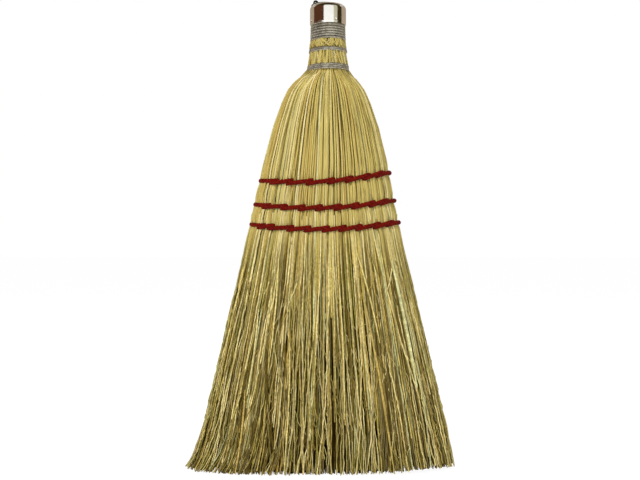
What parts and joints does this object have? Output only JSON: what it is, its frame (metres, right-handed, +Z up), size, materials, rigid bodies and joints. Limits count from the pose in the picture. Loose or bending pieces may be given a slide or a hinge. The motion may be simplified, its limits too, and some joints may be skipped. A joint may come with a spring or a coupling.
{
  "type": "whisk broom",
  "caption": "Hand whisk broom of sewn broomcorn, wire-bound neck under a domed metal cap, with a hinged hanging ring on its crown.",
  "frame": {"origin": "middle of the base, on the surface that the trimmed tips stand on", "axes": "+Z up along the broom to its cap, +X to the right across the fan seen from the front, front faces -Y"},
  "size_m": [0.1456, 0.039, 0.2569],
  "materials": {
    "ring_wire": "dull plated steel wire",
    "cap_metal": "bright nickel-plated sheet",
    "binding_wire": "galvanised soft wire",
    "broomcorn": "dry broomcorn stalks, straw to olive",
    "red_twine": "twisted dark red sewing twine"
  },
  "bodies": {
    "broom": {"ring_staple": "ring_wire", "metal_cap": "cap_metal", "top_wire_winding": "binding_wire", "middle_wire_band": "binding_wire", "shoulder_wire_band": "binding_wire", "front_cover": "broomcorn", "back_cover": "broomcorn", "left_bundle": "broomcorn", "right_bundle": "broomcorn", "core_bundle": "broomcorn", "upper_twine_row": "red_twine", "middle_twine_row": "red_twine", "lower_twine_row": "red_twine", "upper_row_ties": "red_twine", "middle_row_ties": "red_twine", "lower_row_ties": "red_twine"},
    "ring": {"hanging_ring": "ring_wire"}
  },
  "joints": [
    {"name": "ring_swing", "type": "hinge", "parent": "broom", "child": "ring", "pos_m": [-0.0022, 0.00023, 0.2549], "axis": [0.7071, -0.7071, 0], "range_deg": [0, 180]}
  ]
}
